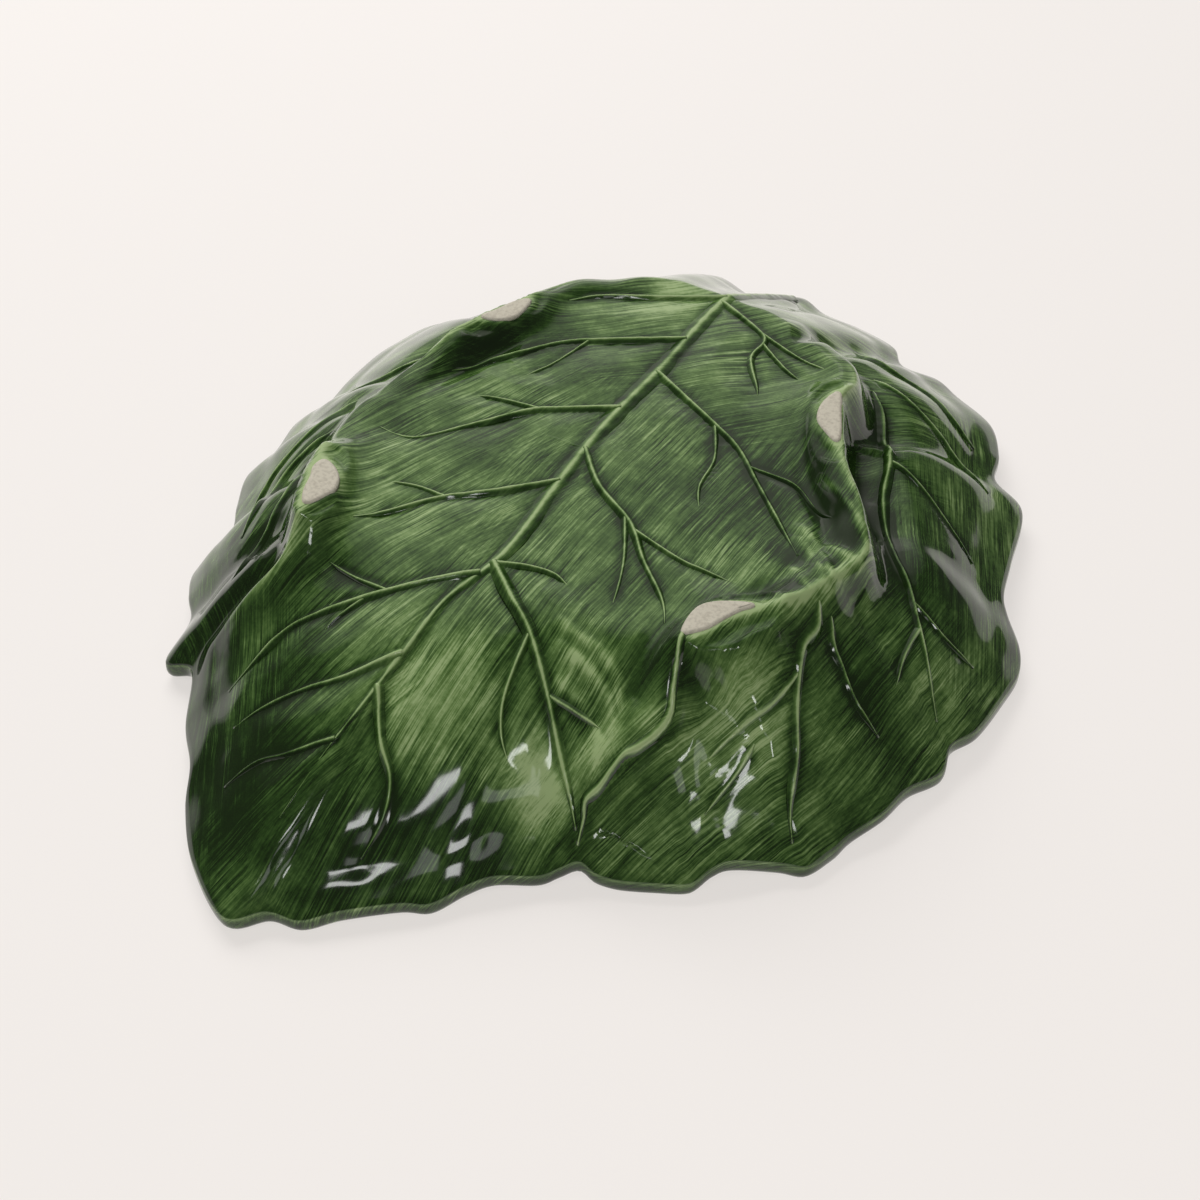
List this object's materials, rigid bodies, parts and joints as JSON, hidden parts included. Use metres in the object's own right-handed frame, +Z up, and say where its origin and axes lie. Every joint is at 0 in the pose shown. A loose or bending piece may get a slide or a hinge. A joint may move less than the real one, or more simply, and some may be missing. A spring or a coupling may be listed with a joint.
{
  "type": "leaf shaped plate",
  "caption": "Leaf shaped plate in brushed green glazed earthenware, lying face down: a ruffled, folded dish with a raised midrib, branching veins and bare clay foot pads on its underside.",
  "frame": {"origin": "centre of the plate's outline in plan, on the plane that its rim rests on; the plate lies face down, as pictured", "axes": "+Y along the leaf from its tip to its stem end, +X across the leaf, +Z up out of the underside, the way its foot pads face"},
  "size_m": [0.256, 0.331, 0.057],
  "materials": {
    "green_glaze": "glossy brushed green glaze over a pale clay body",
    "pale_rib_glaze": "glossy glaze, thin over the raised rib",
    "thin_vein_glaze": "glossy glaze, thin over the raised veins",
    "bare_clay": "unglazed, ground flat, matt"
  },
  "bodies": {
    "root": {"leaf_dish": "green_glaze", "midrib": "pale_rib_glaze", "left_base_veins": "thin_vein_glaze", "right_base_veins": "thin_vein_glaze", "left_tip_veins": "thin_vein_glaze", "right_tip_veins": "thin_vein_glaze", "left_lobe_veins": "thin_vein_glaze", "right_lobe_veins": "thin_vein_glaze", "left_front_foot": "bare_clay", "left_back_foot": "bare_clay", "right_front_foot": "bare_clay", "right_back_foot": "bare_clay"}
  },
  "joints": []
}
